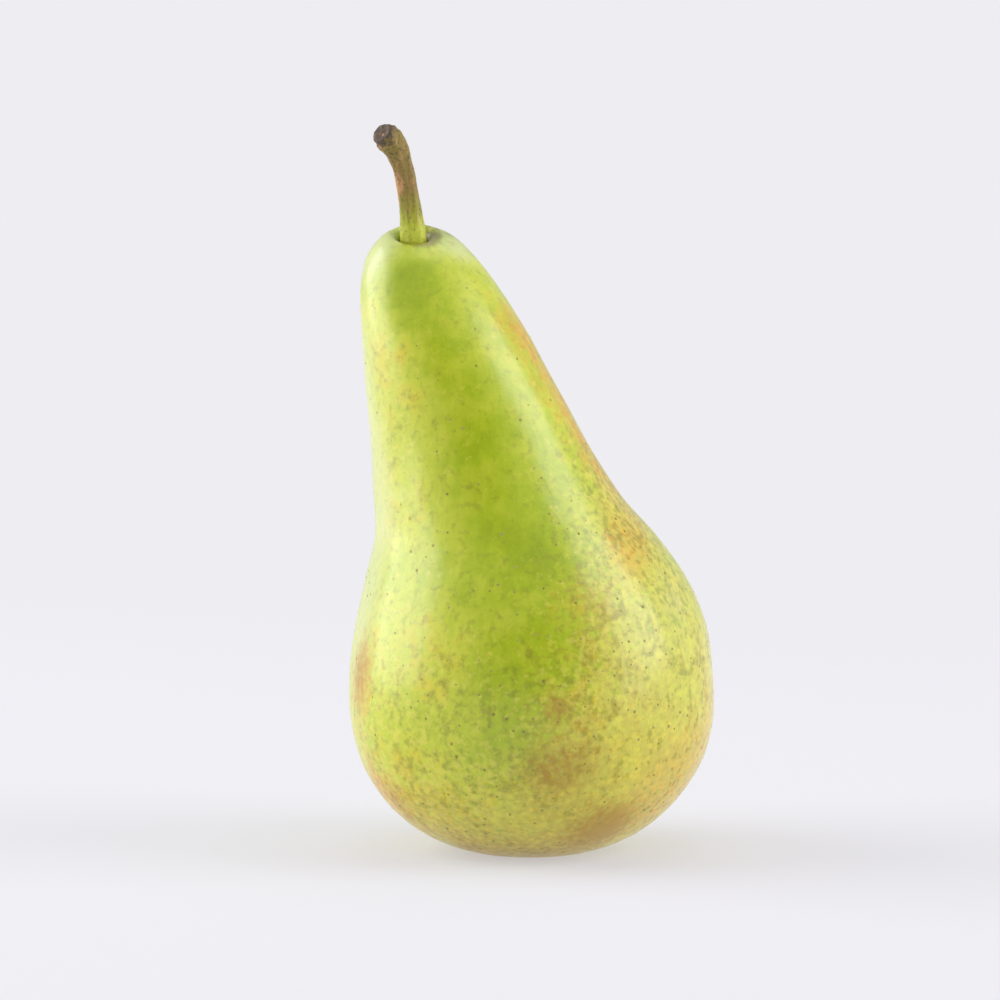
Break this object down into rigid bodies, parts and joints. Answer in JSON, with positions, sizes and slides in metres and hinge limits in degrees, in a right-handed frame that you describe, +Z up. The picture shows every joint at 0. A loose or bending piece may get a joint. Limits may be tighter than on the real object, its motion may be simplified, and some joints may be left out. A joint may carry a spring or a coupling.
{
  "type": "pear",
  "caption": "Whole long-necked green pear standing on its calyx end, with a leaning neck, a curved woody stalk and a dried calyx in the basin underneath.",
  "frame": {"origin": "on the surface that the pear stands on, under the middle of the part's box", "axes": "+Z up from the foot to the stalk; the neck leans towards -X; the crown's front lip and the end of the stalk face -Y"},
  "size_m": [0.0642, 0.0622, 0.1269],
  "materials": {
    "skin": "satin waxy fruit skin, green to yellow-green with fine olive and russet speckle",
    "stalk_bark": "matt bark, yellow-green at the foot to dark brown at the knob",
    "dried_stamens": "matt, dried",
    "dried_sepal": "matt, dried"
  },
  "bodies": {
    "root": {"fruit": "skin", "stalk": "stalk_bark", "stamen_tuft": "dried_stamens", "sepal_1": "dried_sepal", "sepal_2": "dried_sepal", "sepal_3": "dried_sepal", "sepal_4": "dried_sepal", "sepal_5": "dried_sepal"}
  },
  "joints": []
}
